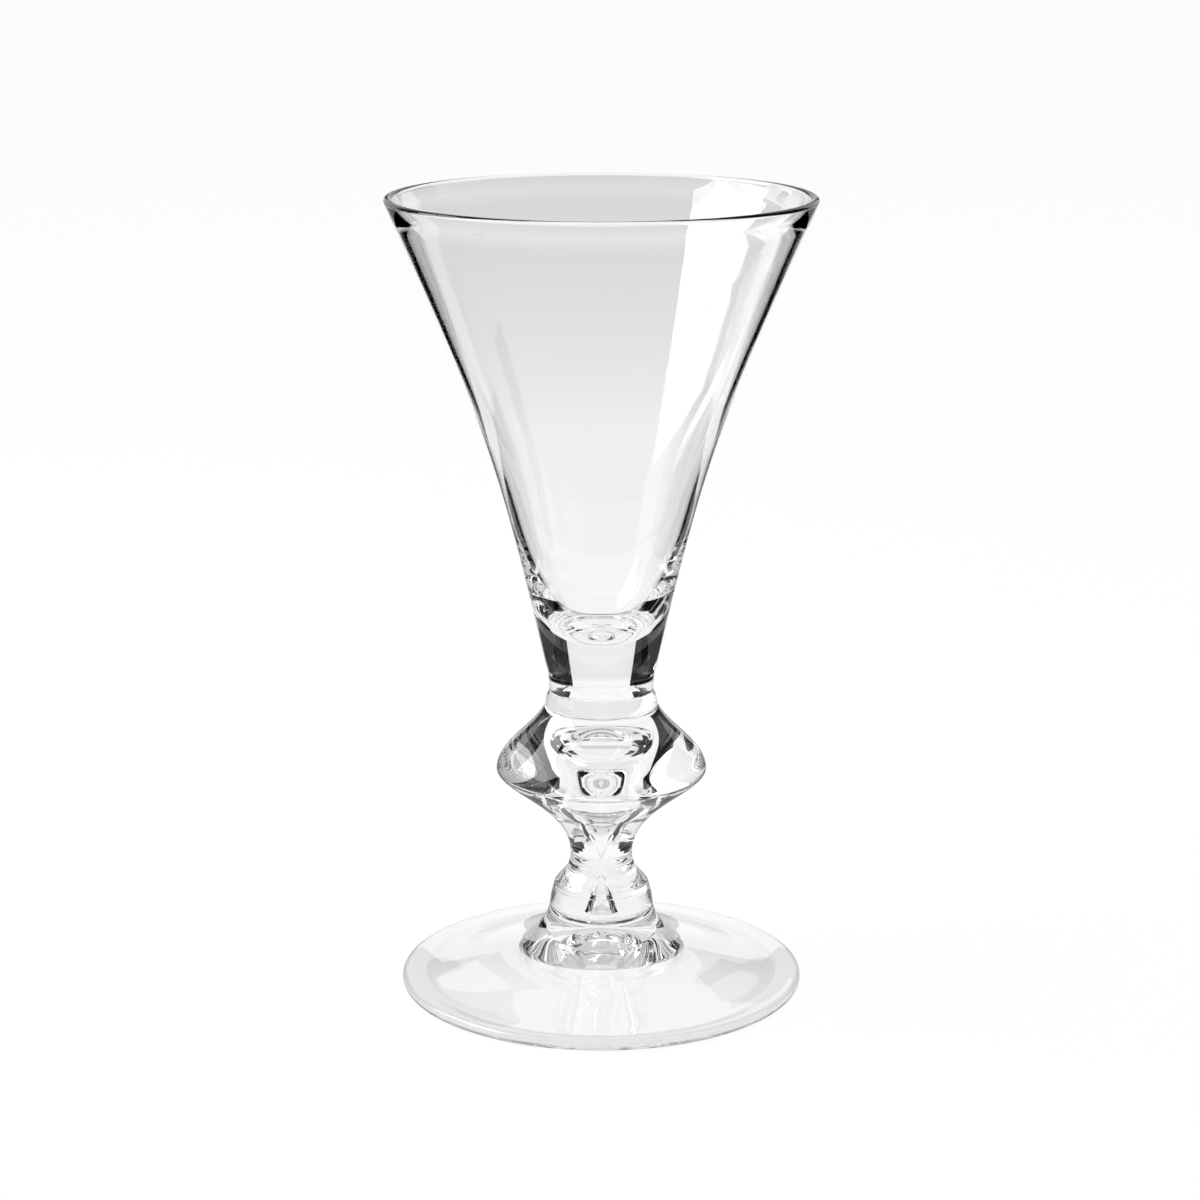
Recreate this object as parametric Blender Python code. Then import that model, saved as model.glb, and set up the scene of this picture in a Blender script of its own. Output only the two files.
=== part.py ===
"""Hand-made water goblet in clear glass, in six pieces sealed hot to one another.

From the table up: a spread foot with a raised boss, a merese (a flat wafer of glass), a base knop,
a stem that swells from a thin neck into a wide knop, a second merese, and a flared bowl with a
heavy base. A drawn-out air tear hangs in the stem, and a small pointed one stands in the base knop
and the merese under it. Every piece is turned from its own half outline about the goblet's axis,
and stands on the piece below it. Lengths are metres, +Z is up, and the origin is where the axis
meets the table.
"""

from math import cos, pi, radians, sin

import bmesh
import bpy
from mathutils import Vector
from mathutils.geometry import interpolate_bezier

# Turning, and the clearance left where two pieces are sealed
TURN_STEPS = 60
SEAM = 0.0003

# Seats, each shared by the two pieces that are sealed there
FOOT_SEAT_RADIUS = 0.0116
BASE_KNOP_SEAT_RADIUS = 0.0108
NECK_SEAT_RADIUS = 0.0074
KNOP_SEAT_RADIUS = 0.0125
BOWL_SEAT_RADIUS = 0.0116

# Foot
FOOT_HEIGHT = 0.0179
FOOT_RADIUS = 0.0452
FOOT_EDGE_THICKNESS = 0.0026
BOSS_BASE_RADIUS = 0.0184
BOSS_BASE_HEIGHT = 0.0082
REST_RING_WIDTH = 0.0040
KICK_RADIUS = 0.0180
KICK_HEIGHT = 0.0046
HOLLOW_RADIUS = 0.0086
HOLLOW_HEIGHT = 0.0080
HOLLOW_TOP = 0.0115

# Mereses
LOWER_MERESE_HEIGHT = 0.00375
UPPER_MERESE_HEIGHT = 0.0030
MERESE_BULGE = 0.00015

# Base knop
BASE_KNOP_HEIGHT = 0.0050
BASE_KNOP_RADIUS = 0.0106
BASE_KNOP_BELLY_HEIGHT = 0.0008

# Stem, whose heights are taken from its lower seat
STEM_HEIGHT = 0.0373
NECK_RADIUS = 0.0069
NECK_HEIGHT = 0.0025
KNOP_RADIUS = 0.0235
KNOP_CENTRE_HEIGHT = 0.0225
KNOP_UPPER_FULLNESS = 0.33
KNOP_LOWER_FULLNESS = 0.16
NECK_SWEEP = 0.52

# Air tear in the stem, with heights from the stem's lower seat. Its tail runs on as a fine bore to the seat
TEAR_TOP = 0.03015
TEAR_RADIUS = 0.0087
TEAR_SHOULDER_HEIGHT = 0.0245
TEAR_WAIST_RADIUS = 0.0040
TEAR_WAIST_HEIGHT = 0.0150
TEAR_TAIL_RADIUS = 0.0017
TEAR_TAIL_HEIGHT = 0.00745
TEAR_BORE_RADIUS = 0.00035
TEAR_BORE_HEIGHT = 0.00265

# Pointed air tear at the base: a pit in the foot, a hole through the merese and a point in the base knop
BASE_TEAR_PIT_DEPTH = 0.0016
BASE_TEAR_PIT_RADIUS = 0.0026
BASE_TEAR_FOOT_RADIUS = 0.0021
BASE_TEAR_KNOP_RADIUS = 0.00085
BASE_TEAR_POINT_HEIGHT = 0.00205

# Bowl, whose heights are taken from its seat, with its flares as run over rise
BOWL_HEIGHT = 0.10955
BOWL_WAIST_RADIUS = 0.0117
BOWL_WAIST_HEIGHT = 0.0016
BOWL_ROOT_RADIUS = 0.0128
BOWL_ROOT_HEIGHT = 0.0076
BOWL_ROOT_FLARE = 0.22
RIM_RADIUS = 0.0467
RIM_WALL = 0.0018
RIM_FLARE = 0.43
BOWL_BASE_THICKNESS = 0.0118
WELL_RADIUS = 0.0183
WELL_HEIGHT = 0.0387
WELL_FLARE = 0.283
WELL_FLOOR_REACH = 0.0092

# Clear crystal
GLASS_COLOUR = (0.93, 0.95, 0.94, 1.0)
GLASS_ROUGHNESS = 0.02
GLASS_IOR = 1.52


def clear_scene():
    for leftover in list(bpy.data.objects):
        bpy.data.objects.remove(leftover)


def clear_glass(name):
    """Colourless crystal with a fire-polished surface."""
    glass = bpy.data.materials.new(name)
    glass.use_nodes = True
    shader = glass.node_tree.nodes["Principled BSDF"]
    shader.inputs["Base Color"].default_value = GLASS_COLOUR
    shader.inputs["Roughness"].default_value = GLASS_ROUGHNESS
    shader.inputs["Metallic"].default_value = 0.0
    shader.inputs["IOR"].default_value = GLASS_IOR
    shader.inputs["Transmission Weight"].default_value = 1.0
    return glass


def curve(start, start_pull, end_pull, end, steps):
    """Points (radius, height) of one Bezier stretch, with its last point left for the next stretch.

    A pull is the handle's offset from its own end of the stretch.
    """
    start, end = Vector(start), Vector(end)
    points = interpolate_bezier(start, start + Vector(start_pull), end + Vector(end_pull), end, steps + 1)
    return [(point.x, point.y) for point in points[:-1]]


def arc(centre, radius, start_degrees, end_degrees, steps):
    """Points of an arc, both ends included. Angles run from +radius towards +height."""
    points = []
    for step in range(steps + 1):
        angle = radians(start_degrees + (end_degrees - start_degrees) * step / steps)
        points.append((centre[0] + radius * cos(angle), centre[1] + radius * sin(angle)))
    return points


def turned(name, outline, seat_height, parent):
    """A solid of revolution. Its half outline starts and ends on the axis, or at one point beside it."""
    shape = bmesh.new()
    corners = [shape.verts.new((radius, 0.0, height)) for radius, height in outline]
    edges = [shape.edges.new(pair) for pair in zip(corners, corners[1:])]
    bmesh.ops.spin(
        shape,
        geom=corners + edges,
        cent=(0.0, 0.0, 0.0),
        axis=(0.0, 0.0, 1.0),
        angle=2.0 * pi,
        steps=TURN_STEPS,
        use_merge=True,
    )
    bmesh.ops.remove_doubles(shape, verts=shape.verts, dist=1e-6)
    bmesh.ops.recalc_face_normals(shape, faces=shape.faces)
    mesh = bpy.data.meshes.new(name)
    shape.to_mesh(mesh)
    shape.free()
    mesh.shade_smooth()
    mesh.set_sharp_from_angle(angle=radians(40.0))
    mesh.materials.append(clear_glass(name + "_glass"))
    piece = bpy.data.objects.new(name, mesh)
    piece.location.z = seat_height
    piece.parent = parent
    bpy.context.scene.collection.objects.link(piece)
    return piece


def foot_outline():
    """Disc with a rounded edge, a boss swept up from it, and an underside domed up from a flat ring."""
    edge = FOOT_EDGE_THICKNESS / 2.0
    rise = FOOT_HEIGHT - BOSS_BASE_HEIGHT
    spread = BOSS_BASE_RADIUS - FOOT_SEAT_RADIUS
    disc = FOOT_RADIUS - edge - BOSS_BASE_RADIUS
    fall = BOSS_BASE_HEIGHT - FOOT_EDGE_THICKNESS
    ring_inside = FOOT_RADIUS - edge - REST_RING_WIDTH
    kick_run = ring_inside - KICK_RADIUS
    dome_run = KICK_RADIUS - HOLLOW_RADIUS
    dome_rise = HOLLOW_HEIGHT - KICK_HEIGHT
    crown = HOLLOW_TOP - HOLLOW_HEIGHT
    seat = (FOOT_SEAT_RADIUS, FOOT_HEIGHT)
    boss_base = (BOSS_BASE_RADIUS, BOSS_BASE_HEIGHT)
    edge_top = (FOOT_RADIUS - edge, FOOT_EDGE_THICKNESS)
    ring = (ring_inside, 0.0)
    kick = (KICK_RADIUS, KICK_HEIGHT)
    hollow = (HOLLOW_RADIUS, HOLLOW_HEIGHT)
    hollow_top = (0.0, HOLLOW_TOP)
    pit_floor = FOOT_HEIGHT - BASE_TEAR_PIT_DEPTH
    outline = [(0.0, pit_floor), (BASE_TEAR_PIT_RADIUS, pit_floor), (BASE_TEAR_FOOT_RADIUS, FOOT_HEIGHT)]
    outline += curve(seat, (0.15 * spread, -0.45 * rise), (-0.5 * spread, 0.3 * rise), boss_base, 6)
    outline += curve(boss_base, (0.2 * disc, -0.36 * fall), (-0.35 * disc, 0.2 * fall), edge_top, 5)
    outline += arc((FOOT_RADIUS - edge, edge), edge, 90.0, -90.0, 6)
    outline += curve(ring, (-0.27 * kick_run, 0.17 * KICK_HEIGHT),
                     (0.27 * kick_run, -0.26 * KICK_HEIGHT), kick, 3)
    outline += curve(kick, (-0.36 * dome_run, 0.2 * dome_rise),
                     (0.28 * dome_run, -0.24 * dome_rise), hollow, 3)
    outline += curve(hollow, (-0.3 * HOLLOW_RADIUS, 0.46 * crown), (0.3 * HOLLOW_RADIUS, 0.0), hollow_top, 3)
    outline += [hollow_top]
    return outline


def merese_outline(height, top_radius, bottom_radius, top_hole=0.0, bottom_hole=0.0):
    """Flat wafer, whole or with a tapered hole, whose edge swells a little between its two seats."""
    swell = (MERESE_BULGE * 4.0 / 3.0, 0.0)
    outline = [(top_hole, height)]
    outline += curve((top_radius, height), swell, swell, (bottom_radius, 0.0), 4)
    outline += [(bottom_radius, 0.0), (bottom_hole, 0.0)]
    if top_hole:
        outline += [(top_hole, height)]
    return outline


def base_knop_outline():
    """Bell that spreads from the neck's seat to an upright belly, over the point of the base tear."""
    shoulder = BASE_KNOP_HEIGHT - BASE_KNOP_BELLY_HEIGHT
    spread = BASE_KNOP_RADIUS - NECK_SEAT_RADIUS
    neck_seat = (NECK_SEAT_RADIUS, BASE_KNOP_HEIGHT)
    belly = (BASE_KNOP_RADIUS, BASE_KNOP_BELLY_HEIGHT)
    seat = (BASE_KNOP_SEAT_RADIUS, 0.0)
    outline = [(0.0, BASE_KNOP_HEIGHT)]
    outline += curve(neck_seat, (0.15 * spread, -0.36 * shoulder), (-0.1 * spread, 0.2 * shoulder), belly, 5)
    outline += [belly, seat, (BASE_TEAR_KNOP_RADIUS, 0.0), (0.0, BASE_TEAR_POINT_HEIGHT)]
    return outline


def tear_outline():
    """Inside of the stem: the bore from the neck's seat, the tear's drawn-out tail, and its round top."""
    swell = TEAR_RADIUS - TEAR_WAIST_RADIUS
    rise = TEAR_SHOULDER_HEIGHT - TEAR_WAIST_HEIGHT
    taper = TEAR_WAIST_RADIUS - TEAR_TAIL_RADIUS
    drop = TEAR_WAIST_HEIGHT - TEAR_TAIL_HEIGHT
    point = TEAR_TAIL_HEIGHT - TEAR_BORE_HEIGHT
    dome = TEAR_TOP - TEAR_SHOULDER_HEIGHT
    mouth = (TEAR_BORE_RADIUS, 0.0)
    bore = (TEAR_BORE_RADIUS, TEAR_BORE_HEIGHT)
    tail = (TEAR_TAIL_RADIUS, TEAR_TAIL_HEIGHT)
    waist = (TEAR_WAIST_RADIUS, TEAR_WAIST_HEIGHT)
    shoulder = (TEAR_RADIUS, TEAR_SHOULDER_HEIGHT)
    top = (0.0, TEAR_TOP)
    outline = [mouth]
    outline += curve(bore, (0.0, 0.2 * point), (-0.4 * TEAR_TAIL_RADIUS, -0.27 * point), tail, 3)
    outline += curve(tail, (0.28 * taper, 0.24 * drop), (-0.34 * taper, -0.31 * drop), waist, 3)
    outline += curve(waist, (0.29 * swell, 0.29 * rise), (0.0, -0.26 * rise), shoulder, 3)
    outline += curve(shoulder, (0.0, 0.55 * dome), (0.33 * TEAR_RADIUS, 0.0), top, 4)
    outline += [top]
    return outline


def stem_outline():
    """Thin neck that swells into the wide, flattened knop round an air tear, then draws in to its seat."""
    upper = STEM_HEIGHT - KNOP_CENTRE_HEIGHT
    lower = KNOP_CENTRE_HEIGHT - NECK_HEIGHT
    shoulder = KNOP_RADIUS - KNOP_SEAT_RADIUS
    flare = NECK_SEAT_RADIUS - NECK_RADIUS
    top = (KNOP_SEAT_RADIUS, STEM_HEIGHT)
    equator = (KNOP_RADIUS, KNOP_CENTRE_HEIGHT)
    neck = (NECK_RADIUS, NECK_HEIGHT)
    seat = (NECK_SEAT_RADIUS, 0.0)
    outline = [(0.0, STEM_HEIGHT)]
    outline += curve(top, (0.19 * shoulder, -0.36 * upper), (0.0, KNOP_UPPER_FULLNESS * upper), equator, 8)
    outline += curve(equator, (0.0, -KNOP_LOWER_FULLNESS * lower), (0.0, NECK_SWEEP * lower), neck, 11)
    outline += curve(neck, (0.0, -0.4 * NECK_HEIGHT), (-0.8 * flare, 0.3 * NECK_HEIGHT), seat, 3)
    outline += [seat]
    outline += tear_outline()
    return outline


def bowl_outline():
    """Flared bowl: an even wall, a well with a round bottom, and a solid base over the stem."""
    lip = RIM_WALL / 2.0
    lip_height = BOWL_HEIGHT - lip
    floor = (0.0, BOWL_BASE_THICKNESS)
    well_edge = (WELL_RADIUS, WELL_HEIGHT)
    inner_lip = (RIM_RADIUS - RIM_WALL, lip_height)
    outer_lip = (RIM_RADIUS, lip_height)
    root = (BOWL_ROOT_RADIUS, BOWL_ROOT_HEIGHT)
    waist = (BOWL_WAIST_RADIUS, BOWL_WAIST_HEIGHT)
    seat = (BOWL_SEAT_RADIUS, 0.0)
    scoop = 0.6 * (WELL_HEIGHT - BOWL_BASE_THICKNESS)
    depth = lip_height - WELL_HEIGHT
    wall = lip_height - BOWL_ROOT_HEIGHT
    draw_in = BOWL_ROOT_HEIGHT - BOWL_WAIST_HEIGHT
    outline = [floor]
    outline += curve(floor, (WELL_FLOOR_REACH, 0.0), (-scoop * WELL_FLARE, -scoop), well_edge, 8)[1:]
    outline += curve(well_edge, (0.3 * depth * WELL_FLARE, 0.3 * depth),
                     (-0.27 * depth * RIM_FLARE, -0.27 * depth), inner_lip, 8)
    outline += arc((RIM_RADIUS - lip, lip_height), lip, 180.0, 0.0, 5)[:-1]
    outline += curve(outer_lip, (-0.47 * wall * RIM_FLARE, -0.47 * wall),
                     (0.44 * wall * BOWL_ROOT_FLARE, 0.44 * wall), root, 11)
    outline += curve(root, (-0.45 * draw_in * BOWL_ROOT_FLARE, -0.45 * draw_in),
                     (0.0, 0.45 * draw_in), waist, 4)
    outline += [waist, seat, (0.0, 0.0)]
    return outline


def main():
    clear_scene()
    goblet = bpy.data.objects.new("goblet", None)
    bpy.context.scene.collection.objects.link(goblet)
    stack = [
        ("foot", FOOT_HEIGHT, foot_outline()),
        ("lower_merese", LOWER_MERESE_HEIGHT,
         merese_outline(LOWER_MERESE_HEIGHT, BASE_KNOP_SEAT_RADIUS, FOOT_SEAT_RADIUS,
                        BASE_TEAR_KNOP_RADIUS, BASE_TEAR_FOOT_RADIUS)),
        ("base_knop", BASE_KNOP_HEIGHT, base_knop_outline()),
        ("stem", STEM_HEIGHT, stem_outline()),
        ("upper_merese", UPPER_MERESE_HEIGHT,
         merese_outline(UPPER_MERESE_HEIGHT, BOWL_SEAT_RADIUS, KNOP_SEAT_RADIUS)),
        ("bowl", BOWL_HEIGHT, bowl_outline()),
    ]
    seat_height = 0.0
    for name, height, outline in stack:
        turned(name, outline, seat_height, goblet)
        seat_height += height + SEAM


if __name__ == "__main__":
    main()
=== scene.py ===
"""Clear crystal water goblet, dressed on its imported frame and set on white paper.

Every piece of the frame is modelled again as a fine turned glass, from a half outline that is drawn as a
Bezier curve and spun about the goblet's axis. The stem holds a drawn-out air tear, and the base a small one.
Lengths are metres, +Z is up, and the goblet stands on z = 0.
"""

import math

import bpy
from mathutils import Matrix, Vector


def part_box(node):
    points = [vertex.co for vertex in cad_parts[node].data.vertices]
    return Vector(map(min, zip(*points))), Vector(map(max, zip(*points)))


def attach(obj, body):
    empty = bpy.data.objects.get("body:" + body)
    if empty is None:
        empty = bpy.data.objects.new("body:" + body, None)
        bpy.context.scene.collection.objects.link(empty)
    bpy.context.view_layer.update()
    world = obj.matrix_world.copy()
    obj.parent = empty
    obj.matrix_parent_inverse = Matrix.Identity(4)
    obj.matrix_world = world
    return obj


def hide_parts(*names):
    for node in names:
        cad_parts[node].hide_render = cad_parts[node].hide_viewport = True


bl_info = {
    "name": "Water Goblet",
    "version": (1, 0, 0),
    "blender": (4, 5, 0),
    "location": "View3D > Sidebar > Goblet",
    "description": "Turns the goblet's six pieces in clear crystal and lights them on white paper",
    "category": "Object",
}

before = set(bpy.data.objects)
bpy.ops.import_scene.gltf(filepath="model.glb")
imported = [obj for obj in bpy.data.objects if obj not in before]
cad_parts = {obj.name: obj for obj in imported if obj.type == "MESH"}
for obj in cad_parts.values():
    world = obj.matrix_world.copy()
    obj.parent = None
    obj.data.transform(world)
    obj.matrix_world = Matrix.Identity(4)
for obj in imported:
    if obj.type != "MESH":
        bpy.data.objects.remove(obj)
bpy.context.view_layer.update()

# Where each piece stands and how far it reaches, from the frame
NODES = ("foot", "lower_merese", "base_knop", "stem", "upper_merese", "bowl")
LOW = {node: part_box(node)[0].z for node in NODES}
HIGH = {node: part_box(node)[1].z for node in NODES}
REACH = {node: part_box(node)[1].x for node in NODES}


def seam_height(below, above):
    """Middle of the clearance between two stacked pieces, where their glass is fused."""
    return (HIGH[below] + LOW[above]) / 2.0


FOOT_SEAM = seam_height("foot", "lower_merese")
BASE_KNOP_SEAM = seam_height("lower_merese", "base_knop")
NECK_SEAM = seam_height("base_knop", "stem")
KNOP_SEAM = seam_height("stem", "upper_merese")
BOWL_SEAM = seam_height("upper_merese", "bowl")

# Bezier handles of a quarter circle and of a crease's edge, as shares of their radius
ROUND = 0.5523
CREASE_ROUND = 0.55

# How bright the stage is: paper that is seen shows this share of its own white, paper mirrored in glass is
# dimmer, and the room fills shadows but is dim in the solid glass
PAPER_WHITE = 0.94
MIRRORED_PAPER = 0.3
ROOM_FILL = 0.6
ROOM_IN_GLASS = 0.05

# The backdrop glows white up to the first height, and its glow dims to the upper level at the second: painted
# shade, darker higher up
BACKDROP_WHITE_HEIGHT = 0.03
BACKDROP_SHADED_HEIGHT = 0.13
BACKDROP_PAINTED_SHADE = 0.74

# Other sizes of the stage
FLOOR_WIDTH = 12.0
AIM_HEIGHT = 0.12
SENSOR_MM = 36.0


def length(name, description, default):
    """A length of the goblet or the stage, in metres."""
    return bpy.props.FloatProperty(
        name=name,
        description=description,
        default=default,
        min=0.0,
        subtype="DISTANCE",
        unit="LENGTH",
        precision=4,
    )


def share(name, description, default):
    """A plain ratio."""
    return bpy.props.FloatProperty(name=name, description=description, default=default, subtype="FACTOR")


class GobletSizes(bpy.types.PropertyGroup):
    """Sizes of the turned glass that the frame's boxes don't give."""

    crease: length("Crease", "Depth of the groove where two pieces are sealed", 0.00012)
    foot_seat: length("Foot seat", "Radius of the seal on top of the foot's boss", 0.0116)
    base_knop_seat: length("Base knop seat", "Radius of the seal under the base knop", 0.0108)
    neck_seat: length("Neck seat", "Radius of the seal under the neck", 0.0074)
    knop_seat: length("Knop seat", "Radius of the seal on top of the knop", 0.0125)
    bowl_seat: length("Bowl seat", "Radius of the seal under the bowl", 0.0116)
    merese_bulge: length("Merese bulge", "How far a merese's edge swells between its seats", 0.00015)
    foot_edge: length("Foot edge", "Thickness of the foot's rounded edge", 0.0026)
    boss_base_radius: length("Boss radius", "Radius where the boss rises from the disc", 0.0184)
    boss_base_height: length("Boss base", "Height where the boss rises from the disc", 0.0082)
    rest_ring: length("Rest ring", "Width of the flat ring that the foot stands on", 0.0040)
    kick_radius: length("Kick radius", "Radius where the underside begins to dome up under the boss", 0.0180)
    kick_height: length("Kick height", "Height where the underside begins to dome up under the boss", 0.0046)
    hollow_radius: length("Hollow radius", "Radius of the ground pontil hollow in the dome", 0.0086)
    hollow_height: length("Hollow height", "Height of the ground hollow's edge", 0.0080)
    hollow_top: length("Hollow top", "Height of the ground hollow's top", 0.0115)
    base_tear_pit: length("Base tear pit", "How deep the base tear reaches into the foot", 0.0016)
    base_tear_floor: length("Base tear floor", "Radius of the base tear at the bottom of that pit", 0.0026)
    base_tear_foot: length("Base tear foot", "Radius of the base tear where it leaves the foot", 0.0021)
    base_tear_knop: length("Base tear knop", "Radius of the base tear where it enters the base knop", 0.00085)
    base_tear_point: length("Base tear point", "How far the tear's point reaches into the base knop", 0.00205)
    belly_radius: length("Belly radius", "Radius of the base knop's upright belly", 0.0106)
    belly_height: length("Belly height", "Height of the base knop's belly over its seat", 0.0008)
    neck_radius: length("Neck radius", "Radius of the neck where it is thinnest", 0.0069)
    neck_height: length("Neck height", "Height of the thinnest place over the neck's seat", 0.0025)
    knop_height: length("Knop height", "Height of the knop's widest place over the neck's seat", 0.0225)
    tear_top: length("Tear top", "Height of the air tear's round top over the neck's seat", 0.03015)
    tear_radius: length("Tear radius", "Radius of the air tear at its shoulder", 0.0087)
    tear_shoulder: length("Tear shoulder", "Height of the tear's shoulder over the neck's seat", 0.0245)
    tear_waist_radius: length("Tear waist radius", "Radius of the tear half way down", 0.0040)
    tear_waist_height: length("Tear waist height", "Height of that place over the neck's seat", 0.0150)
    tear_tail_radius: length("Tear tail radius", "Radius of the tear where its tail draws out", 0.0017)
    tear_tail_height: length("Tear tail height", "Height of that place over the neck's seat", 0.00745)
    tear_end_radius: length("Tear end radius", "Radius of the thin end of the tail", 0.0004)
    tear_end_height: length("Tear end height", "Height of the thin end over the neck's seat", 0.00265)
    tear_end: length("Tear end", "Height where the tail closes, over the neck's seat", 0.0018)
    waist_radius: length("Waist radius", "Radius where the bowl draws in over its seat", 0.0117)
    waist_height: length("Waist height", "Height of the bowl's waist over its seat", 0.0016)
    root_radius: length("Root radius", "Radius where the bowl's flare begins", 0.0128)
    root_height: length("Root height", "Height over the seat where the bowl's flare begins", 0.0076)
    root_flare: share("Root flare", "Run over rise of the bowl's wall where its flare begins", 0.22)
    rim_flare: share("Rim flare", "Run over rise of the bowl's wall at the rim", 0.43)
    rim_wall: length("Rim wall", "Thickness of the fire-polished rim", 0.0018)
    base_thickness: length("Base thickness", "Solid glass under the bowl's well", 0.0118)
    well_radius: length("Well radius", "Inner radius where the well's round bottom meets the wall", 0.0183)
    well_height: length("Well height", "Height over the seat where the well's round bottom ends", 0.0387)
    well_flare: share("Well flare", "Run over rise of the inner wall at the well's radius", 0.283)
    well_floor: length("Well floor", "Reach of the well's nearly flat floor", 0.0092)
    turn_steps: bpy.props.IntProperty(
        name="Turn steps", description="Facets round the axis", default=180, min=24, max=256
    )


class GobletLooks(bpy.types.PropertyGroup):
    """Colours and finish of the glass and the stage, as sRGB hex values."""

    glass: bpy.props.StringProperty(name="Glass", description="Colour of the crystal", default="#FDFDFD")
    paper: bpy.props.StringProperty(name="Paper", description="Colour of the floor", default="#F4F4F4")
    glass_ior: bpy.props.FloatProperty(name="IOR", description="Refraction of the crystal", default=1.53)
    wave_width: length("Wave width", "How far a tool's wave runs round the glass", 0.022)
    wave_height: length("Wave height", "How far a tool's wave runs up the glass", 0.008)
    wave_depth: length("Wave depth", "How deep the waves in the skin are", 0.00002)
    cloud_width: length("Cloud width", "Size of the duller places in the skin", 0.012)
    dullest: share("Dullest", "Roughness of the skin where it is dullest", 0.006)


class GobletView(bpy.types.PropertyGroup):
    """Where the camera stands, and how far light is followed."""

    distance: length("Distance", "From the goblet's axis to the camera, along the floor", 0.6521)
    height: length("Height", "Height of the camera over the floor", 0.2527)
    aside: length("Aside", "How far the camera stands to the left of the axis", 0.0003)
    pitch: bpy.props.FloatProperty(
        name="Pitch",
        description="How far the camera looks down",
        default=math.radians(14.13),
        subtype="ANGLE",
    )
    lens: bpy.props.FloatProperty(name="Lens", description="Focal length in millimetres", default=91.09)
    bounces: bpy.props.IntProperty(
        name="Bounces", description="How often light may turn inside the thick glass", default=32, min=4
    )


def linear(hex_colour):
    """An sRGB hex value as linear RGBA."""
    channels = [int(hex_colour[start:start + 2], 16) / 255.0 for start in (1, 3, 5)]
    curve = [value / 12.92 if value <= 0.04045 else ((value + 0.055) / 1.055) ** 2.4 for value in channels]
    return (*curve, 1.0)


def add_node(tree, kind, settings=None, inputs=None):
    """Adds a node with its settings. An input is a value, or another node's output to link from."""
    node = tree.nodes.new(kind)
    for setting, value in (settings or {}).items():
        setattr(node, setting, value)
    for socket, value in (inputs or {}).items():
        if isinstance(value, bpy.types.NodeSocket):
            tree.links.new(value, node.inputs[socket])
        else:
            node.inputs[socket].default_value = value
    return node


def new_material(name):
    material = bpy.data.materials.new(name)
    material.use_nodes = True
    material.node_tree.nodes.clear()
    return material, material.node_tree


def fire_polished_crystal(name):
    """Clear crystal, reheated until its skin ran smooth.

    The tools leave long, low waves that wander round the axis and bend what shows through the glass a
    little, and the skin drifts between mirror smooth and a breath duller.
    """
    looks = bpy.context.scene.goblet_looks
    material, tree = new_material(name)
    place = add_node(tree, "ShaderNodeTexCoord").outputs["Object"]
    across = 1.0 / looks.wave_width
    along = 1.0 / looks.wave_height
    laid = add_node(tree, "ShaderNodeMapping", inputs={"Vector": place, "Scale": (across, across, along)})
    waves = add_node(tree, "ShaderNodeTexNoise", inputs={
        "Vector": laid.outputs["Vector"], "Scale": 1.0, "Detail": 1.0, "Roughness": 0.4})
    skin = add_node(tree, "ShaderNodeBump", inputs={
        "Height": waves.outputs["Fac"], "Strength": 1.0, "Distance": looks.wave_depth})
    cloud = add_node(tree, "ShaderNodeTexNoise", inputs={
        "Vector": place, "Scale": 1.0 / looks.cloud_width, "Detail": 2.0})
    dullness = add_node(tree, "ShaderNodeMapRange", inputs={
        "Value": cloud.outputs["Fac"], "From Min": 0.5, "From Max": 0.8, "To Max": looks.dullest})
    shader = add_node(tree, "ShaderNodeBsdfPrincipled", inputs={
        "Base Color": linear(looks.glass),
        "Roughness": dullness.outputs["Result"],
        "IOR": looks.glass_ior,
        "Transmission Weight": 1.0,
        "Normal": skin.outputs["Normal"],
    })
    add_node(tree, "ShaderNodeOutputMaterial", inputs={"Surface": shader.outputs["BSDF"]})
    return material


def fused_seam():
    """Glass run into glass: nothing is left of the two faces, so light goes straight on."""
    material, tree = new_material("fused glass seam")
    clear = add_node(tree, "ShaderNodeBsdfTransparent")
    add_node(tree, "ShaderNodeOutputMaterial", inputs={"Surface": clear.outputs["BSDF"]})
    return material


def knot(radius, height, before=(0.0, 0.0), after=(0.0, 0.0)):
    """A point of a half outline, with its handles as offsets (radius, height)."""
    return (radius, height), before, after


def draw_outline(name, knots, resolution=24):
    """A half outline as a Bezier curve in the XZ plane."""
    bpy.ops.object.select_all(action="DESELECT")
    bpy.ops.curve.primitive_bezier_curve_add()
    drawing = bpy.context.object
    drawing.name = name
    spline = drawing.data.splines[0]
    spline.bezier_points.add(len(knots) - 2)
    spline.resolution_u = resolution
    drawing.data.resolution_u = resolution
    for point, ((radius, height), before, after) in zip(spline.bezier_points, knots):
        point.handle_left_type = "FREE"
        point.handle_right_type = "FREE"
        point.co = (radius, 0.0, height)
        point.handle_left = (radius + before[0], 0.0, height + before[1])
        point.handle_right = (radius + after[0], 0.0, height + after[1])
    return drawing


def spin_outline(drawing):
    """Turns a drawn half outline into a closed body."""
    steps = bpy.context.scene.goblet_sizes.turn_steps
    bpy.ops.object.select_all(action="DESELECT")
    drawing.select_set(True)
    bpy.context.view_layer.objects.active = drawing
    bpy.ops.object.convert(target="MESH")
    body = bpy.context.object
    bpy.ops.object.mode_set(mode="EDIT")
    bpy.ops.mesh.select_all(action="SELECT")
    bpy.ops.mesh.remove_doubles(threshold=1e-7)
    bpy.ops.mesh.spin(steps=steps, angle=2.0 * math.pi, center=(0.0, 0.0, 0.0), axis=(0.0, 0.0, 1.0))
    bpy.ops.mesh.select_all(action="SELECT")
    bpy.ops.mesh.remove_doubles(threshold=1e-6)
    bpy.ops.mesh.normals_make_consistent(inside=False)
    bpy.ops.object.mode_set(mode="OBJECT")
    bpy.ops.object.shade_smooth_by_angle(angle=math.radians(35.0))
    return body


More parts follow.
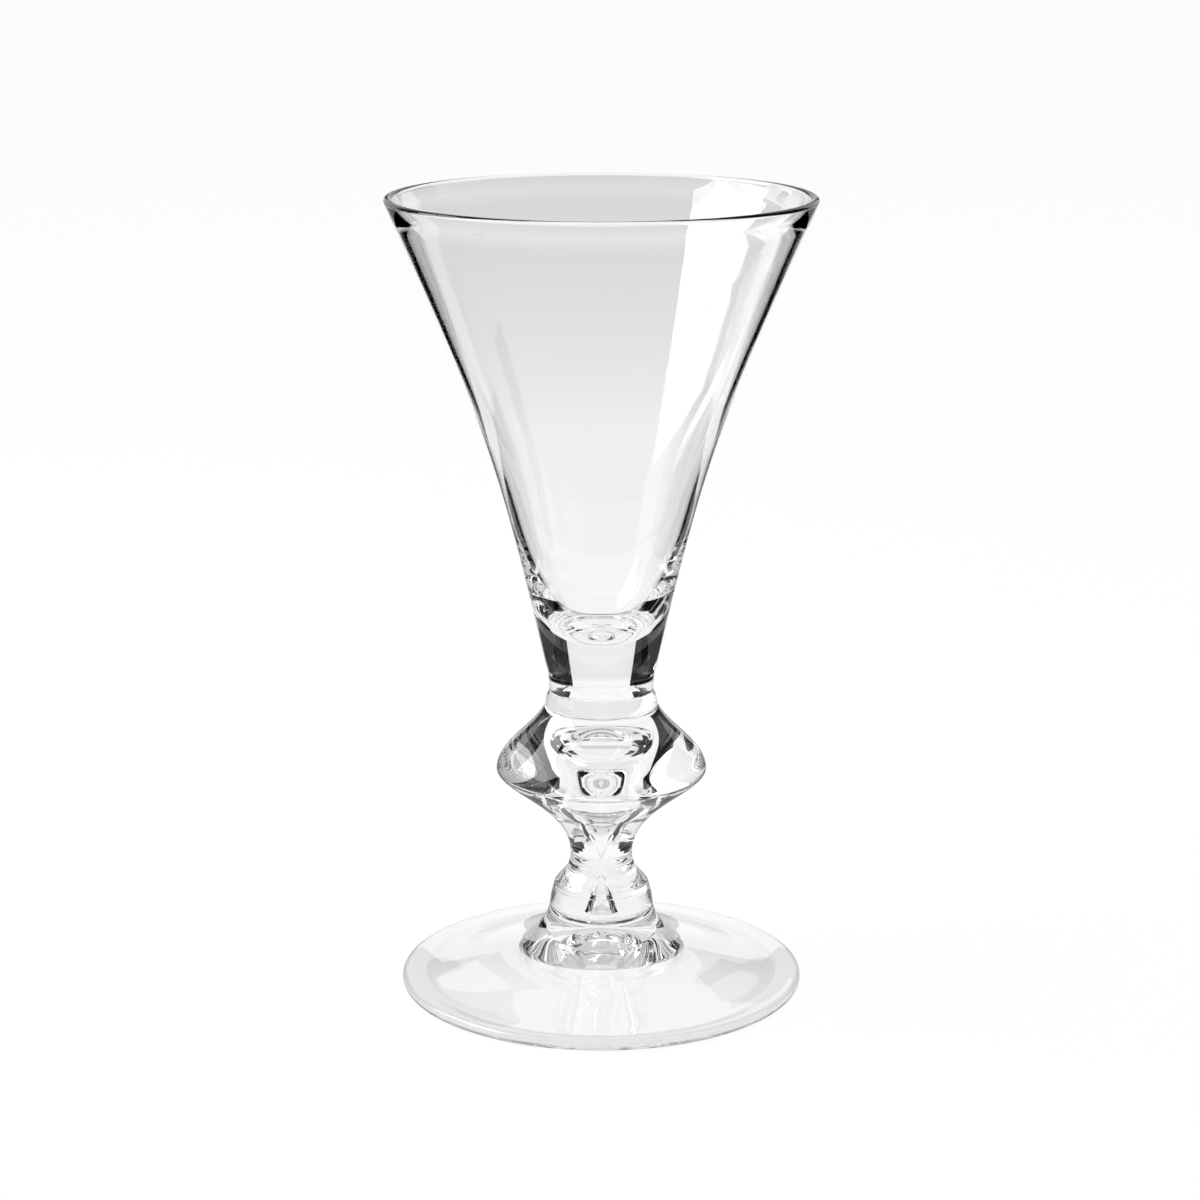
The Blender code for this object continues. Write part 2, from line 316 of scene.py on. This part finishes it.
def clear_seam_faces(body, heights):
    """Gives the flat seals of a body its second material."""
    for face in body.data.polygons:
        flat = abs(face.normal.z) > 0.999
        if flat and min(abs(face.center.z - height) for height in heights) < 1e-6:
            face.material_index = 1
            face.use_smooth = False


def add_bubble(piece, knots):
    """Closes an air bubble into a piece of glass, as a second skin that faces inwards."""
    bubble = spin_outline(draw_outline(piece.name + "_bubble", knots))
    bpy.ops.object.mode_set(mode="EDIT")
    bpy.ops.mesh.select_all(action="SELECT")
    bpy.ops.mesh.flip_normals()
    bpy.ops.object.mode_set(mode="OBJECT")
    bpy.ops.object.select_all(action="DESELECT")
    bubble.select_set(True)
    piece.select_set(True)
    bpy.context.view_layer.objects.active = piece
    bpy.ops.object.join()


def turn_piece(node, knots, seams, bubble=None):
    """One finished glass piece that stands for a node of the frame."""
    piece = spin_outline(draw_outline(node + "_glass", knots))
    if bubble:
        add_bubble(piece, bubble)
    piece.data.materials.clear()
    piece.data.materials.append(fire_polished_crystal("fire-polished crystal, " + node.replace("_", " ")))
    piece.data.materials.append(fused_seam())
    clear_seam_faces(piece, seams)
    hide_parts(node)
    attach(piece, "root")


def top_seal(radius, height, hole=0.0, before=(0.0, 0.0)):
    """Flat seal on top of a piece, from the axis or a hole out to the crease and over its edge."""
    crease = bpy.context.scene.goblet_sizes.crease
    third = (radius - hole) / 3.0
    return [
        knot(hole, height, before, after=(third, 0.0)),
        knot(radius - crease, height, before=(-third, 0.0), after=(CREASE_ROUND * crease, 0.0)),
    ]


def bottom_seal(radius, height, hole=0.0, after=(0.0, 0.0)):
    """Flat seal under a piece, from its edge in to the crease and on to the axis or a hole."""
    crease = bpy.context.scene.goblet_sizes.crease
    third = (radius - hole) / 3.0
    return [
        knot(radius - crease, height, before=(CREASE_ROUND * crease, 0.0), after=(-third, 0.0)),
        knot(hole, height, (third, 0.0), after),
    ]


class GOBLET_OT_foot(bpy.types.Operator):
    """Spread foot with a raised boss, a rounded edge and a hollow underside"""

    bl_idname = "goblet.foot"
    bl_label = "Foot"

    def execute(self, context):
        size = context.scene.goblet_sizes
        radius = REACH["foot"]
        edge = size.foot_edge / 2.0
        round_edge = ROUND * edge
        crease = size.crease
        tuck = CREASE_ROUND * crease
        rise = HIGH["foot"] - size.boss_base_height
        spread = size.boss_base_radius - size.foot_seat
        disc = radius - edge - size.boss_base_radius
        fall = size.boss_base_height - size.foot_edge
        ring_inside = radius - edge - size.rest_ring
        kick_run = ring_inside - size.kick_radius
        dome_run = size.kick_radius - size.hollow_radius
        dome_rise = size.hollow_height - size.kick_height
        crown = size.hollow_top - size.hollow_height
        boss_top = FOOT_SEAM - crease
        pit = size.base_tear_pit
        pit_edge = size.base_tear_floor
        pit_lean = (size.base_tear_floor - size.base_tear_foot) / 3.0
        knots = [
            knot(0.0, HIGH["foot"] - pit, after=(0.7 * pit_edge, 0.0)),
            knot(pit_edge, HIGH["foot"] - 0.9 * pit, (0.0, -0.06 * pit), (-pit_lean, 0.3 * pit)),
        ]
        knots += top_seal(size.foot_seat, FOOT_SEAM, size.base_tear_foot, (pit_lean, -0.3 * pit))
        knots += [
            knot(size.foot_seat, boss_top, (0.0, tuck), (0.15 * spread, -0.45 * rise)),
            knot(size.boss_base_radius, size.boss_base_height,
                 (-0.5 * spread, 0.3 * rise), (0.2 * disc, -0.36 * fall)),
            knot(radius - edge, size.foot_edge, (-0.35 * disc, 0.2 * fall), (round_edge, 0.0)),
            knot(radius, edge, (0.0, round_edge), (0.0, -round_edge)),
            knot(radius - edge, 0.0, (round_edge, 0.0), (-size.rest_ring / 3.0, 0.0)),
            knot(ring_inside, 0.0, (size.rest_ring / 3.0, 0.0), (-0.27 * kick_run, 0.17 * size.kick_height)),
            knot(size.kick_radius, size.kick_height, (0.27 * kick_run, -0.26 * size.kick_height),
                 (-0.36 * dome_run, 0.2 * dome_rise)),
            knot(size.hollow_radius, size.hollow_height, (0.28 * dome_run, -0.24 * dome_rise),
                 (-0.3 * size.hollow_radius, 0.46 * crown)),
            knot(0.0, size.hollow_top, (0.3 * size.hollow_radius, 0.0)),
        ]
        turn_piece("foot", knots, [FOOT_SEAM])
        return {"FINISHED"}


class GOBLET_OT_mereses(bpy.types.Operator):
    """The two flat wafers of glass, over the foot and under the bowl"""

    bl_idname = "goblet.mereses"
    bl_label = "Mereses"

    def execute(self, context):
        size = context.scene.goblet_sizes
        swell = size.merese_bulge * 4.0 / 3.0
        crease = size.crease
        tuck = CREASE_ROUND * crease
        tear = (size.base_tear_knop, size.base_tear_foot)
        wafers = [
            ("lower_merese", BASE_KNOP_SEAM, size.base_knop_seat, FOOT_SEAM, size.foot_seat, tear),
            ("upper_merese", BOWL_SEAM, size.bowl_seat, KNOP_SEAM, size.knop_seat, (0.0, 0.0)),
        ]
        for node, top, top_radius, bottom, bottom_radius, hole in wafers:
            third = (top - bottom) / 3.0
            lean = (bottom_radius - top_radius) / 3.0
            taper = ((hole[1] - hole[0]) / 3.0, -third)
            knots = top_seal(top_radius, top, hole[0])
            knots += [
                knot(top_radius, top - crease, (0.0, tuck), (lean + swell, -third)),
                knot(bottom_radius, bottom + crease, (swell - lean, third), (0.0, -tuck)),
            ]
            knots += bottom_seal(bottom_radius, bottom, hole[1], (-taper[0], -taper[1]))
            if hole[0]:
                knots += [knot(hole[0], top, taper)]
            turn_piece(node, knots, [top, bottom])
        return {"FINISHED"}


class GOBLET_OT_base_knop(bpy.types.Operator):
    """Bell-shaped knop at the bottom of the neck"""

    bl_idname = "goblet.base_knop"
    bl_label = "Base Knop"

    def execute(self, context):
        size = context.scene.goblet_sizes
        crease = size.crease
        tuck = CREASE_ROUND * crease
        belly = LOW["base_knop"] + size.belly_height
        shoulder = HIGH["base_knop"] - belly
        spread = size.belly_radius - size.neck_seat
        knots = top_seal(size.neck_seat, NECK_SEAM)
        knots += [
            knot(size.neck_seat, NECK_SEAM - crease, (0.0, tuck), (0.15 * spread, -0.36 * shoulder)),
            knot(size.belly_radius, belly, (-0.1 * spread, 0.2 * shoulder), (0.0, -0.2 * size.belly_height)),
            knot(size.base_knop_seat, BASE_KNOP_SEAM + crease, (0.0, 0.2 * size.belly_height), (0.0, -tuck)),
        ]
        hole = size.base_tear_knop
        point = size.base_tear_point
        knots += bottom_seal(size.base_knop_seat, BASE_KNOP_SEAM, hole, (-0.3 * hole, 0.4 * point))
        knots += [knot(0.0, LOW["base_knop"] + point, (0.3 * hole, -0.3 * point))]
        turn_piece("base_knop", knots, [NECK_SEAM, BASE_KNOP_SEAM])
        return {"FINISHED"}


class GOBLET_OT_stem(bpy.types.Operator):
    """Thin neck that swells into the wide, flattened knop, round an air tear"""

    bl_idname = "goblet.stem"
    bl_label = "Stem"

    def execute(self, context):
        size = context.scene.goblet_sizes
        crease = size.crease
        tuck = CREASE_ROUND * crease
        knop_radius = REACH["stem"]
        knop = LOW["stem"] + size.knop_height
        neck = LOW["stem"] + size.neck_height
        upper = HIGH["stem"] - knop
        lower = knop - neck
        shoulder = knop_radius - size.knop_seat
        flare = size.neck_seat - size.neck_radius
        knots = top_seal(size.knop_seat, KNOP_SEAM)
        knots += [
            knot(size.knop_seat, KNOP_SEAM - crease, (0.0, tuck), (0.19 * shoulder, -0.36 * upper)),
            knot(knop_radius, knop, (0.0, 0.33 * upper), (0.0, -0.16 * lower)),
            knot(size.neck_radius, neck, (0.0, 0.52 * lower), (0.0, -0.4 * size.neck_height)),
            knot(size.neck_seat, NECK_SEAM + crease, (-0.8 * flare, 0.3 * size.neck_height), (0.0, -tuck)),
        ]
        knots += bottom_seal(size.neck_seat, NECK_SEAM)
        turn_piece("stem", knots, [KNOP_SEAM, NECK_SEAM], self.tear(size))
        return {"FINISHED"}

    def tear(self, size):
        """Half outline of the air tear: a round top, a shoulder, and a tail drawn out down the neck."""
        seat = LOW["stem"]
        dome = size.tear_top - size.tear_shoulder
        swell = size.tear_radius - size.tear_waist_radius
        rise = size.tear_shoulder - size.tear_waist_height
        taper = size.tear_waist_radius - size.tear_tail_radius
        drop = size.tear_waist_height - size.tear_tail_height
        point = size.tear_tail_height - size.tear_end_height
        tip = size.tear_end_height - size.tear_end
        return [
            knot(0.0, seat + size.tear_top, after=(0.33 * size.tear_radius, 0.0)),
            knot(size.tear_radius, seat + size.tear_shoulder, (0.0, 0.55 * dome), (0.0, -0.26 * rise)),
            knot(size.tear_waist_radius, seat + size.tear_waist_height, (0.29 * swell, 0.29 * rise),
                 (-0.34 * taper, -0.31 * drop)),
            knot(size.tear_tail_radius, seat + size.tear_tail_height, (0.28 * taper, 0.24 * drop),
                 (-0.32 * size.tear_tail_radius, -0.27 * point)),
            knot(size.tear_end_radius, seat + size.tear_end_height,
                 (0.1 * size.tear_tail_radius, 0.2 * point), (0.0, -0.4 * tip)),
            knot(0.0, seat + size.tear_end, (0.4 * size.tear_end_radius, 0.0)),
        ]


class GOBLET_OT_bowl(bpy.types.Operator):
    """Flared bowl with a thin rim and a heavy solid base"""

    bl_idname = "goblet.bowl"
    bl_label = "Bowl"

    def execute(self, context):
        size = context.scene.goblet_sizes
        crease = size.crease
        tuck = CREASE_ROUND * crease
        rim = REACH["bowl"]
        top = HIGH["bowl"]
        seat = LOW["bowl"]
        lip = size.rim_wall / 2.0
        round_lip = ROUND * lip
        floor = seat + size.base_thickness
        well = seat + size.well_height
        scoop = 0.6 * (well - floor)
        depth = top - lip - well
        root = seat + size.root_height
        waist = seat + size.waist_height
        wall = top - lip - root
        draw_in = root - waist
        knots = [
            knot(0.0, floor, after=(size.well_floor, 0.0)),
            knot(size.well_radius, well, (-scoop * size.well_flare, -scoop),
                 (0.3 * depth * size.well_flare, 0.3 * depth)),
            knot(rim - size.rim_wall, top - lip, (-0.27 * depth * size.rim_flare, -0.27 * depth),
                 (0.0, round_lip)),
            knot(rim - lip, top, (-round_lip, 0.0), (round_lip, 0.0)),
            knot(rim, top - lip, (0.0, round_lip), (-0.47 * wall * size.rim_flare, -0.47 * wall)),
            knot(size.root_radius, root, (0.44 * wall * size.root_flare, 0.44 * wall),
                 (-0.45 * draw_in * size.root_flare, -0.45 * draw_in)),
            knot(size.waist_radius, waist, (0.0, 0.45 * draw_in), (0.0, -0.3 * size.waist_height)),
            knot(size.bowl_seat, BOWL_SEAM + crease, (0.0, 0.3 * size.waist_height), (0.0, -tuck)),
        ]
        knots += bottom_seal(size.bowl_seat, BOWL_SEAM)
        turn_piece("bowl", knots, [BOWL_SEAM])
        return {"FINISHED"}


def seen_rays(tree):
    """1 for rays from the camera, and for rays that a glass reflects or lets through."""
    path = add_node(tree, "ShaderNodeLightPath")
    seen = path.outputs["Is Camera Ray"]
    for kind in ("Is Glossy Ray", "Is Transmission Ray"):
        joined = add_node(tree, "ShaderNodeMath", {"operation": "MAXIMUM"}, {0: seen, 1: path.outputs[kind]})
        seen = joined.outputs["Value"]
    return path, seen


def through_walls(tree):
    """1 for rays that crossed glass twice and were nowhere mirrored, as through the bowl's two walls."""
    path = add_node(tree, "ShaderNodeLightPath")
    twice = add_node(tree, "ShaderNodeMath", {"operation": "GREATER_THAN"}, {
        0: path.outputs["Transmission Depth"], 1: 3.0})
    straight = add_node(tree, "ShaderNodeMath", {"operation": "LESS_THAN"}, {
        0: path.outputs["Glossy Depth"], 1: 1.0})
    both = add_node(tree, "ShaderNodeMath", {"operation": "MULTIPLY"}, {
        0: twice.outputs["Value"], 1: straight.outputs["Value"]})
    return both.outputs["Value"]


def paper_floor(colour):
    """White paper: what is seen of it is mostly its own white, with a faint shadow, and it mirrors dimmer."""
    bpy.ops.object.select_all(action="DESELECT")
    bpy.ops.mesh.primitive_plane_add(size=FLOOR_WIDTH)
    floor = bpy.context.object
    floor.name = "floor"
    material, tree = new_material("white paper floor")
    path, seen = seen_rays(tree)
    white = add_node(tree, "ShaderNodeMath", {"operation": "MULTIPLY"}, {0: seen, 1: PAPER_WHITE})
    paper = add_node(tree, "ShaderNodeBsdfDiffuse", inputs={"Color": colour})
    mirrored = add_node(tree, "ShaderNodeMath", {"operation": "SUBTRACT"}, {
        0: path.outputs["Is Glossy Ray"], 1: path.outputs["Is Transmission Ray"]})
    level = add_node(tree, "ShaderNodeMapRange", inputs={
        "Value": mirrored.outputs["Value"], "To Min": 1.0, "To Max": MIRRORED_PAPER})
    glow = add_node(tree, "ShaderNodeEmission", inputs={"Strength": level.outputs["Result"]})
    mix = add_node(tree, "ShaderNodeMixShader", inputs={
        0: white.outputs["Value"], 1: paper.outputs["BSDF"], 2: glow.outputs["Emission"]})
    add_node(tree, "ShaderNodeOutputMaterial", inputs={"Surface": mix.outputs["Shader"]})
    floor.data.materials.append(material)


def studio_world():
    """White to the camera and through the bowl, soft fill on the floor, and a dim room in the solid glass."""
    world = bpy.data.worlds.new("studio")
    bpy.context.scene.world = world
    world.use_nodes = True
    tree = world.node_tree
    tree.nodes.clear()
    path, seen = seen_rays(tree)
    room = add_node(tree, "ShaderNodeMapRange", inputs={
        "Value": seen, "To Min": ROOM_FILL, "To Max": ROOM_IN_GLASS})
    level = room.outputs["Result"]
    for white in (path.outputs["Is Camera Ray"], through_walls(tree)):
        brighter = add_node(tree, "ShaderNodeMath", {"operation": "MAXIMUM"}, {0: level, 1: white})
        level = brighter.outputs["Value"]
    studio = add_node(tree, "ShaderNodeBackground", inputs={"Color": (1.0, 1.0, 1.0, 1.0), "Strength": level})
    add_node(tree, "ShaderNodeOutputWorld", inputs={"Surface": studio.outputs["Background"]})


# Cards round the goblet that show only in its glass: degrees to the right of straight behind it, distance,
# width, lower edge, upper edge, brightness, and whether the bowl's two walls hide it
CARDS = (
    ("black_back_right", 40.0, 0.35, 0.214, 0.0, 0.096, 0.0, True),
    ("black_back_left", -40.0, 0.35, 0.214, 0.0, 0.096, 0.0, True),
    ("black_near_right", 46.0, 0.14, 0.102, 0.0, 0.058, 0.0, True),
    ("black_near_left", -46.0, 0.14, 0.102, 0.0, 0.058, 0.0, True),
    ("black_low_right", 47.5, 0.085, 0.038, 0.0, 0.034, 0.0, False),
    ("black_low_left", -47.5, 0.085, 0.038, 0.0, 0.034, 0.0, False),
    ("black_side_right", 85.5, 0.13, 0.092, 0.0, 0.065, 0.04, True),
    ("black_side_left", -73.0, 0.13, 0.032, 0.0, 0.065, 0.0, True),
    ("black_front_left", -101.0, 0.13, 0.023, 0.0, 0.065, 0.0, True),
    ("black_high_right", 16.8, 0.44, 0.028, 0.15, 0.310, 0.0, False),
    ("black_high_left", -12.8, 0.44, 0.050, 0.155, 0.370, 0.0, False),
    ("grey_reflector_right", 88.0, 0.45, 0.292, 0.12, 0.250, 0.55, False),
    ("white_reflector_left", -97.0, 0.45, 0.364, 0.12, 0.260, 1.0, False),
    ("white_backdrop_high", 0.0, 0.46, 0.900, 0.165, 0.650, 0.9, False),
    ("strip_left", -57.0, 0.60, 0.437, 0.215, 0.255, 3.0, False),
)


def standing_card(name, turn, distance, width, low, high):
    """An upright card that faces the goblet's axis."""
    angle = math.radians(turn)
    bpy.ops.object.select_all(action="DESELECT")
    bpy.ops.mesh.primitive_plane_add(
        size=1.0,
        location=(distance * math.sin(angle), distance * math.cos(angle), (low + high) / 2.0),
        rotation=(math.pi / 2.0, 0.0, -angle),
    )
    card = bpy.context.object
    card.name = name
    card.scale = (width, high - low, 1.0)
    bpy.ops.object.transform_apply(location=True, rotation=True, scale=True)
    card.visible_camera = False
    card.visible_diffuse = False
    card.visible_shadow = False
    return card


def glowing_card(name, turn, distance, width, low, high, brightness, hidden):
    """A card of one tone; a hidden one shows in the solid glass but not through the bowl's two walls."""
    card = standing_card(name, turn, distance, width, low, high)
    material, tree = new_material(name.replace("_", " ") + " card")
    glow = add_node(tree, "ShaderNodeEmission", inputs={"Strength": brightness})
    surface = glow.outputs["Emission"]
    if hidden:
        clear = add_node(tree, "ShaderNodeBsdfTransparent")
        mix = add_node(tree, "ShaderNodeMixShader", inputs={
            0: through_walls(tree), 1: surface, 2: clear.outputs["BSDF"]})
        surface = mix.outputs["Shader"]
    add_node(tree, "ShaderNodeOutputMaterial", inputs={"Surface": surface})
    card.data.materials.append(material)


def backdrop():
    """A white glowing backdrop behind the goblet, seen only in its glass, with painted shade that darkens it
    a little higher up.
    """
    card = standing_card("backdrop", 0.0, 0.45, 0.42, 0.0, 0.6)
    material, tree = new_material("white backdrop, painted shade higher up")
    place = add_node(tree, "ShaderNodeTexCoord")
    height = add_node(tree, "ShaderNodeSeparateXYZ", inputs={0: place.outputs["Object"]})
    # Painted shade: the backdrop's glow falls from white to the shaded level going up
    fade = add_node(tree, "ShaderNodeMapRange", inputs={
        "Value": height.outputs["Z"],
        "From Min": BACKDROP_WHITE_HEIGHT,
        "From Max": BACKDROP_SHADED_HEIGHT,
        "To Min": 1.0,
        "To Max": BACKDROP_PAINTED_SHADE,
    })
    glow = add_node(tree, "ShaderNodeEmission", inputs={
        "Color": (1.0, 1.0, 1.0, 1.0), "Strength": fade.outputs["Result"]})
    add_node(tree, "ShaderNodeOutputMaterial", inputs={"Surface": glow.outputs["Emission"]})
    card.data.materials.append(material)


def softbox(name, place, width, height, watts):
    """An area lamp that faces the goblet's middle."""
    bpy.ops.object.select_all(action="DESELECT")
    bpy.ops.object.light_add(type="AREA", location=place)
    box = bpy.context.object
    box.name = name
    box.data.shape = "RECTANGLE"
    box.data.size = width
    box.data.size_y = height
    box.data.energy = watts
    away = box.location - Vector((0.0, 0.0, AIM_HEIGHT))
    box.rotation_euler = away.to_track_quat("Z", "Y").to_euler()
    box.visible_camera = False
    return box


class GOBLET_OT_stage(bpy.types.Operator):
    """White paper, soft lamps, dark and light cards for the glass to show, and the camera"""

    bl_idname = "goblet.stage"
    bl_label = "Stage"

    def execute(self, context):
        view = context.scene.goblet_view
        looks = context.scene.goblet_looks
        paper_floor(linear(looks.paper))
        studio_world()
        backdrop()
        for card in CARDS:
            glowing_card(*card)
        softbox("softbox_left", (-0.600, 0.020, 0.52), 0.58, 0.45, 4.0)
        overhead = softbox("softbox_top", (0.0, 0.0, 0.95), 1.40, 1.40, 5.0)
        overhead.visible_glossy = False
        bpy.ops.object.camera_add(
            location=(-view.aside, -view.distance, view.height),
            rotation=(math.pi / 2.0 - view.pitch, 0.0, 0.0),
        )
        camera = context.object
        camera.data.lens = view.lens
        camera.data.sensor_width = SENSOR_MM
        context.scene.camera = camera
        context.scene.view_settings.view_transform = "Standard"
        paths = context.scene.cycles
        paths.max_bounces = view.bounces
        paths.glossy_bounces = view.bounces
        paths.transmission_bounces = view.bounces
        paths.transparent_max_bounces = view.bounces
        return {"FINISHED"}


OPERATORS = (
    GOBLET_OT_foot,
    GOBLET_OT_mereses,
    GOBLET_OT_base_knop,
    GOBLET_OT_stem,
    GOBLET_OT_bowl,
    GOBLET_OT_stage,
)


class GOBLET_PT_sidebar(bpy.types.Panel):
    """Lists the goblet's pieces and their sizes"""

    bl_idname = "GOBLET_PT_sidebar"
    bl_label = "Water Goblet"
    bl_space_type = "VIEW_3D"
    bl_region_type = "UI"
    bl_category = "Goblet"

    def draw(self, context):
        for operator in OPERATORS:
            self.layout.operator(operator.bl_idname)
        for group in (context.scene.goblet_sizes, context.scene.goblet_looks, context.scene.goblet_view):
            box = self.layout.box()
            for name in group.__annotations__:
                box.prop(group, name)


CLASSES = (GobletSizes, GobletLooks, GobletView, *OPERATORS, GOBLET_PT_sidebar)


def register():
    for entry in CLASSES:
        bpy.utils.register_class(entry)
    bpy.types.Scene.goblet_sizes = bpy.props.PointerProperty(type=GobletSizes)
    bpy.types.Scene.goblet_looks = bpy.props.PointerProperty(type=GobletLooks)
    bpy.types.Scene.goblet_view = bpy.props.PointerProperty(type=GobletView)


def unregister():
    del bpy.types.Scene.goblet_view
    del bpy.types.Scene.goblet_looks
    del bpy.types.Scene.goblet_sizes
    for entry in reversed(CLASSES):
        bpy.utils.unregister_class(entry)


def main():
    register()
    bpy.ops.goblet.foot()
    bpy.ops.goblet.mereses()
    bpy.ops.goblet.base_knop()
    bpy.ops.goblet.stem()
    bpy.ops.goblet.bowl()
    bpy.ops.goblet.stage()


if __name__ == "__main__":
    main()
